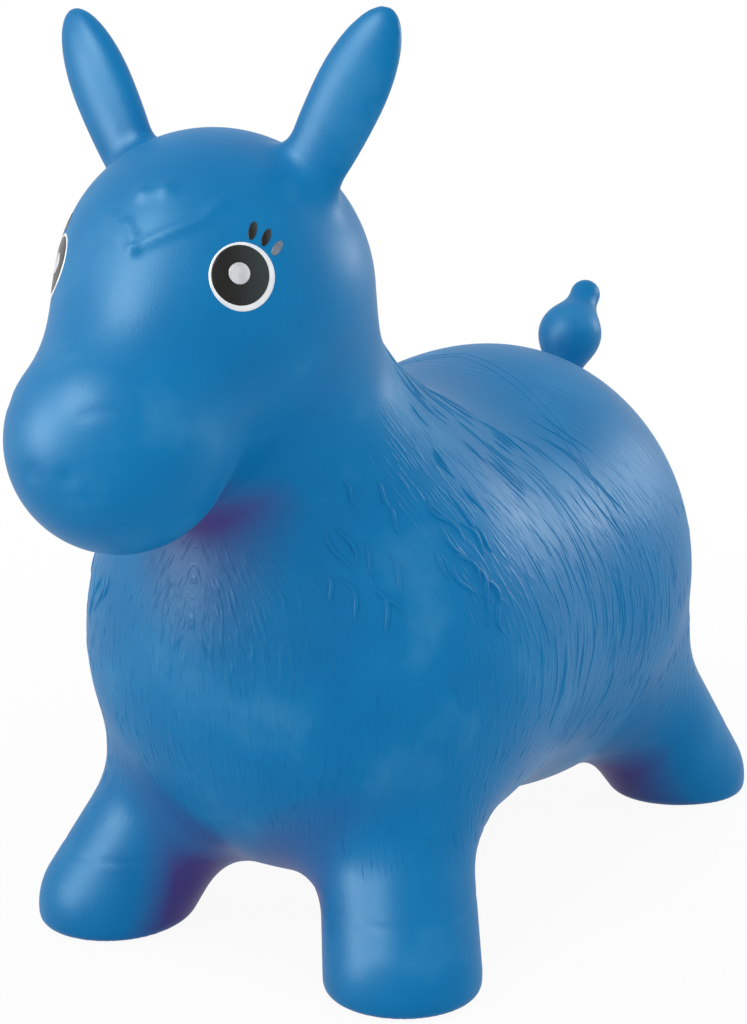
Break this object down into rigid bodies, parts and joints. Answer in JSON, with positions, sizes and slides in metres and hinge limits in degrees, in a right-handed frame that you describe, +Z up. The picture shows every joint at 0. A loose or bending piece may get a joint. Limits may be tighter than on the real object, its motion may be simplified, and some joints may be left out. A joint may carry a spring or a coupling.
{
  "type": "inflatable hopper horse",
  "caption": "Inflatable bouncing horse of soft blue vinyl with grip ears, a bobble tail, stub legs, painted eyes and an air valve under the belly.",
  "frame": {"origin": "on the floor, under the middle of the overall length and width", "axes": "+Z up, -Y towards the nose, +X towards the horse's left side"},
  "size_m": [0.2648, 0.5564, 0.485],
  "materials": {
    "blue_vinyl": "satin",
    "white_paint": "satin",
    "black_paint": "gloss",
    "valve_vinyl": "satin"
  },
  "bodies": {
    "body": {"torso": "blue_vinyl", "valve_seat": "valve_vinyl"},
    "head": {"neck": "blue_vinyl", "head": "blue_vinyl", "left_eye_white": "white_paint", "left_eye_black": "black_paint", "left_eye_glint": "white_paint", "left_front_lash": "black_paint", "left_middle_lash": "black_paint", "left_rear_lash": "black_paint", "right_eye_white": "white_paint", "right_eye_black": "black_paint", "right_eye_glint": "white_paint", "right_front_lash": "black_paint", "right_middle_lash": "black_paint", "right_rear_lash": "black_paint"},
    "left_ear": {"left_ear": "blue_vinyl"},
    "right_ear": {"right_ear": "blue_vinyl"},
    "tail": {"tail": "blue_vinyl"},
    "front_left_leg": {"front_left_leg": "blue_vinyl"},
    "front_right_leg": {"front_right_leg": "blue_vinyl"},
    "rear_left_leg": {"rear_left_leg": "blue_vinyl"},
    "rear_right_leg": {"rear_right_leg": "blue_vinyl"},
    "valve_plug": {"valve_plug": "valve_vinyl"}
  },
  "joints": [
    {"name": "head_nod", "type": "hinge", "parent": "body", "child": "head", "pos_m": [0, -0.08732, 0.25339], "axis": [1, 0, 0], "range_deg": [-5, 5], "stiffness_Nm_per_rad": 40},
    {"name": "left_ear_flop", "type": "hinge", "parent": "head", "child": "left_ear", "pos_m": [0.05501, -0.14086, 0.41571], "axis": [0.871, 0.1069, -0.4795], "range_deg": [-20, 20], "stiffness_Nm_per_rad": 1},
    {"name": "right_ear_flop", "type": "hinge", "parent": "head", "child": "right_ear", "pos_m": [-0.05501, -0.14086, 0.41571], "axis": [0.871, -0.1069, 0.4795], "range_deg": [-20, 20], "stiffness_Nm_per_rad": 1},
    {"name": "tail_wag", "type": "hinge", "parent": "body", "child": "tail", "pos_m": [0, 0.22708, 0.25607], "axis": [1, 0, 0], "range_deg": [-25, 25], "stiffness_Nm_per_rad": 0.4},
    {"name": "front_left_squash", "type": "slide", "parent": "body", "child": "front_left_leg", "axis": [-0.3296, 0.4521, 0.8288], "range_m": [0, 0.02], "stiffness_N_per_m": 5000, "springref_m": -0.002},
    {"name": "front_right_squash", "type": "slide", "parent": "body", "child": "front_right_leg", "axis": [0.3296, 0.4521, 0.8288], "range_m": [0, 0.02], "stiffness_N_per_m": 5000, "springref_m": -0.002},
    {"name": "rear_left_squash", "type": "slide", "parent": "body", "child": "rear_left_leg", "axis": [-0.2462, -0.5398, 0.805], "range_m": [0, 0.02], "stiffness_N_per_m": 5000, "springref_m": -0.002},
    {"name": "rear_right_squash", "type": "slide", "parent": "body", "child": "rear_right_leg", "axis": [0.2462, -0.5398, 0.805], "range_m": [0, 0.02], "stiffness_N_per_m": 5000, "springref_m": -0.002},
    {"name": "plug_pull", "type": "slide", "parent": "body", "child": "valve_plug", "axis": [0, 0, -1], "range_m": [0, 0.014]}
  ]
}
